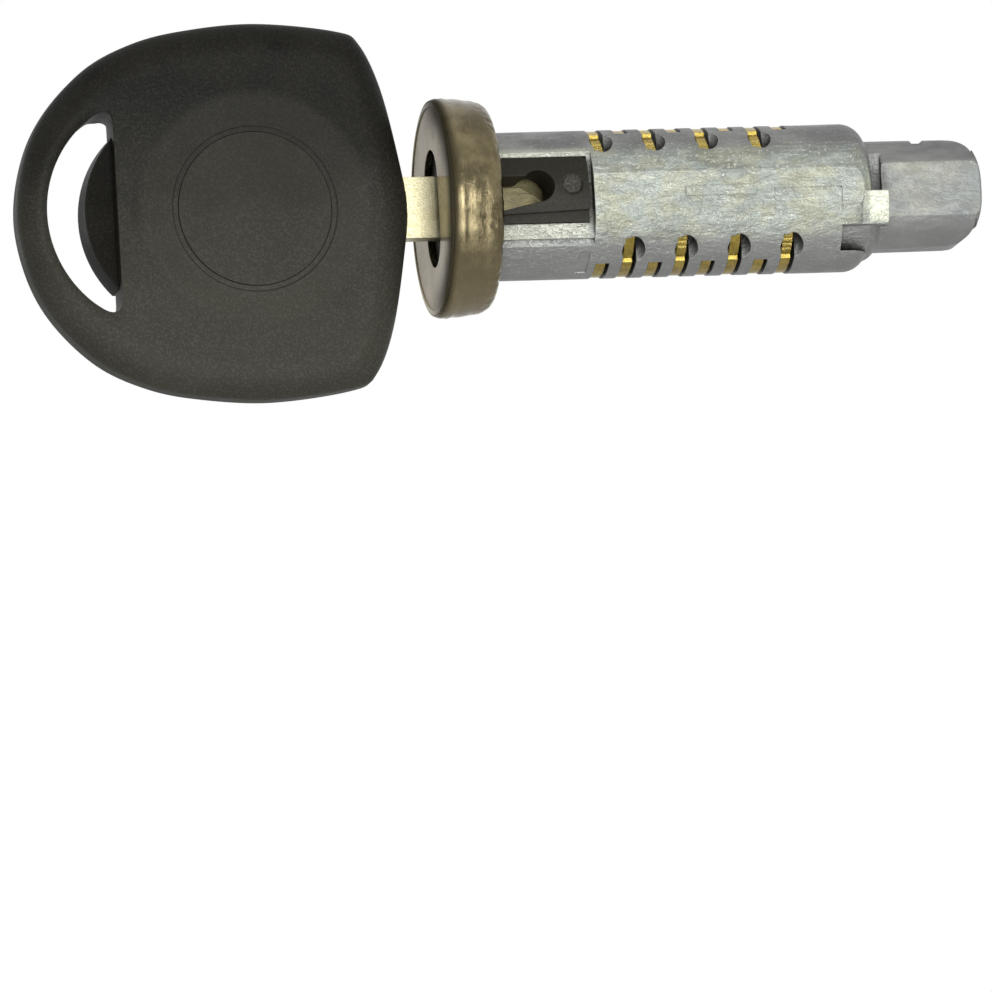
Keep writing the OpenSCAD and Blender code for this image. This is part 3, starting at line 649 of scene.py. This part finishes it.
def rolled_ring():
    back = plate_front + 5 + CRIMP_REACH
    profile = [(plate_front + x, r) for x, r in LIP]
    for turn in (math.radians(k * 6) for k in range(16)):
        profile.append((back - CRIMP_LENGTH * (1 - math.sin(turn)), CRIMP_RADIUS - CRIMP_HEIGHT * (1 - math.cos(turn))))
    profile += [(back, 7.8)] + [(plate_front + x, r) for x, r in INSIDE]
    ring = bmesh.new()
    points = [ring.verts.new((x, 0, r)) for x, r in profile]
    edges = [ring.edges.new((a, b)) for a, b in zip(points, points[1:] + points[:1])]
    bmesh.ops.spin(ring, geom=points + edges, axis=(1, 0, 0), cent=(0, 0, 0), angle=math.tau, steps=320,
                   use_merge=True)
    bmesh.ops.remove_doubles(ring, verts=ring.verts, dist=0.0005)
    bmesh.ops.recalc_face_normals(ring, faces=ring.faces)
    for vert in ring.verts:
        radius = math.hypot(vert.co.y, vert.co.z)
        share = min(1, max(0, (vert.co.x - back + 1.9) / 0.8)) * min(1, max(0, (radius - 8.4) / 0.8))
        dent = noise.noise(vert.co * 1.3) + 0.5 * noise.noise(vert.co * 3.1)
        vert.co -= Vector((0.12, vert.co.y / radius * 0.1, vert.co.z / radius * 0.1)) * share * max(0, dent)
    return ring


ring = as_piece("crimped_collar_ring", rolled_ring(), ring_plating)
ring.data.shade_smooth()
ring.data.set_sharp_from_angle(angle=math.radians(50))
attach(ring, "lock")
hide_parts("collar_ring")
print("ring:", len(ring.data.polygons), "faces")

# %% [markdown]
# Stage and light. A wide soft lamp stands by the camera and a weaker one over the plug, as in a plain tabletop
# studio. The sky is white to the camera and in reflections, but lights the object with less than that, so
# that the lamps can shape it. The floor lies well below, because the camera looks up a little.

# %% Stage and light
def soft_lamp(name, where, width, power):
    light = bpy.data.lights.new(name, "AREA")
    light.shape = "DISK"
    light.size = width
    light.energy = power
    lamp = bpy.data.objects.new(name, light)
    lamp.location = where
    lamp.rotation_euler = (-Vector(where)).to_track_quat("-Z", "Y").to_euler()
    scene.collection.objects.link(lamp)
    return lamp


soft_lamp("key lamp", (0.1, -1.2, 0.0), 0.45, 5.6)
soft_lamp("low lamp", (0.0, -0.6, -0.5), 0.7, 7)
soft_lamp("top lamp", (0.5, -0.6, 1.0), 0.8, 0.5)

world = bpy.data.worlds.new("pale sky")
scene.world = world
world.use_nodes = True
sky = Wire(world.node_tree)
rays = world.node_tree.nodes.new("ShaderNodeLightPath")
seen = sky.maths("MAXIMUM", Wire(sky.tree, rays.outputs["Is Camera Ray"]),
                 Wire(sky.tree, rays.outputs["Is Glossy Ray"]))
seen = sky.maths("MAXIMUM", seen, Wire(sky.tree, rays.outputs["Is Transmission Ray"]))
SKY_LIGHT = 0.55
background = world.node_tree.nodes["Background"]
background.inputs["Color"].default_value = rgba(1, 1, 1)
world.node_tree.links.new((SKY_LIGHT + (1 - SKY_LIGHT) * seen).socket, background.inputs["Strength"])

FLOOR_DROP = 0.45
floor_mesh = bmesh.new()
bmesh.ops.create_circle(floor_mesh, cap_ends=True, segments=96, radius=3)
bmesh.ops.translate(floor_mesh, verts=floor_mesh.verts, vec=(0, 0, -FLOOR_DROP))
floor_data = bpy.data.meshes.new("floor")
floor_mesh.to_mesh(floor_data)
floor_mesh.free()
floor = bpy.data.objects.new("floor", floor_data)
scene.collection.objects.link(floor)
paint = Finish("pale floor paint")
paint.set(Base_Color=mix(paint.noise(0.004).step(0.3, 0.7), rgba(0.86, 0.86, 0.86), rgba(0.89, 0.89, 0.89)),
          Roughness=0.8)
floor_data.materials.append(paint.material)
